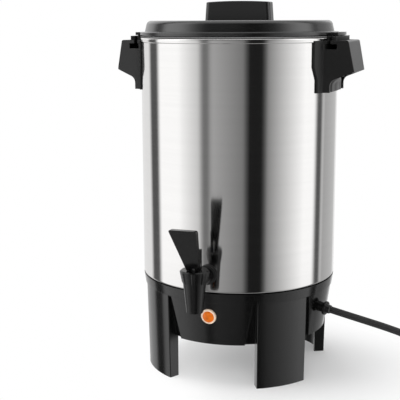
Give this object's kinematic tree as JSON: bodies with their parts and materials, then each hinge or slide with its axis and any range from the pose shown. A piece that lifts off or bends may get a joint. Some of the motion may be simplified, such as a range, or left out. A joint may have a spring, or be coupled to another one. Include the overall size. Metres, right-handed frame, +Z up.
{
  "type": "hot drink dispenser",
  "caption": "Steel percolator urn on a black legged base, with a lidded tank, side handles, lever tap, pilot light, lift-out basket and pump tube, and a mains cord.",
  "frame": {"origin": "on the table under the tank's axis", "axes": "+Z up along the tank's axis, -Y to the tap, +X to the cord and the right-hand handle"},
  "size_m": [0.4368, 0.2425, 0.3394],
  "materials": {
    "tank_steel": "vertical fine brushed, bright",
    "black_plastic": "satin moulded, fine grain",
    "tap_plastic": "satin moulded",
    "zinc_sheet": "zinc plated",
    "cast_alloy": "as cast",
    "spun_alloy": "spun, satin",
    "element_steel": "drawn steel",
    "cream_plastic": "glazed",
    "plated_brass": "plain brass",
    "wire_sleeve": "flexible sleeve",
    "bezel_plastic": "polished moulded",
    "amber_lens": "clear amber",
    "seal_rubber": "smooth",
    "cord_sleeve": "smooth flexible",
    "tie_plastic": "smooth"
  },
  "bodies": {
    "urn": {"tank_shell": "tank_steel", "base_housing": "black_plastic", "bottom_cover": "zinc_sheet", "bottom_screws": "zinc_sheet", "tank_studs": "zinc_sheet", "stud_nuts": "zinc_sheet", "heater_plate": "cast_alloy", "heating_element": "element_steel", "heater_clamp": "zinc_sheet", "clamp_stud": "zinc_sheet", "clamp_nut": "zinc_sheet", "thermostat": "cream_plastic", "thermal_fuse": "cream_plastic", "terminal_block": "cream_plastic", "terminal_screws": "plated_brass", "wiring": "wire_sleeve", "pilot_bezel": "bezel_plastic", "pilot_lens": "amber_lens", "pilot_lamp": "cream_plastic", "handle_right": "black_plastic", "handle_left": "black_plastic", "handle_screws": "zinc_sheet", "tap_body": "tap_plastic", "tap_bonnet": "tap_plastic", "tap_outer_washer": "seal_rubber", "tap_inner_washer": "seal_rubber", "tap_nut": "tap_plastic", "stem_spring": "element_steel", "strain_relief": "cord_sleeve", "cord": "cord_sleeve", "cord_coil": "cord_sleeve", "cord_tie": "tie_plastic", "plug_body": "cord_sleeve", "plug_blades": "plated_brass"},
    "pump": {"pump_tube": "spun_alloy"},
    "basket": {"coffee_basket": "spun_alloy"},
    "spreader": {"basket_cover": "spun_alloy"},
    "lid_ring": {"lid_seal": "seal_rubber"},
    "lid": {"lid_shell": "black_plastic", "lid_knob": "black_plastic", "knob_screws": "zinc_sheet"},
    "stem": {"valve_stem": "tap_plastic", "seat_cup": "seal_rubber"},
    "lever": {"tap_lever": "tap_plastic", "lever_pin": "element_steel"}
  },
  "joints": [
    {"name": "pump_lift", "type": "slide", "parent": "urn", "child": "pump", "axis": [0, 0, 1], "range_m": [0, 0.25]},
    {"name": "basket_lift", "type": "slide", "parent": "pump", "child": "basket", "axis": [0, 0, 1], "range_m": [0, 0.1]},
    {"name": "spreader_lift", "type": "slide", "parent": "basket", "child": "spreader", "axis": [0, 0, 1], "range_m": [0, 0.06]},
    {"name": "lid_lift", "type": "slide", "parent": "spreader", "child": "lid_ring", "axis": [0, 0, 1], "range_m": [0, 0.08]},
    {"name": "lid_twist", "type": "hinge", "parent": "lid_ring", "child": "lid", "pos_m": [0, 0, 0.3086], "axis": [0, 0, 1], "range_deg": [0, 45]},
    {"name": "stem_lift", "type": "slide", "parent": "urn", "child": "stem", "axis": [0, 0, 1], "range_m": [0, 0.0028], "stiffness_N_per_m": 60, "springref_m": -0.004, "deforming": ["stem_spring"]},
    {"name": "lever_tilt", "type": "hinge", "parent": "stem", "child": "lever", "pos_m": [0, -0.122, 0.1218], "axis": [1, 0, 0], "range_deg": [0, 30]}
  ],
  "couplings": [
    {"joint": "lever_tilt", "follows": "stem_lift", "rad_per_m": 185.19}
  ]
}
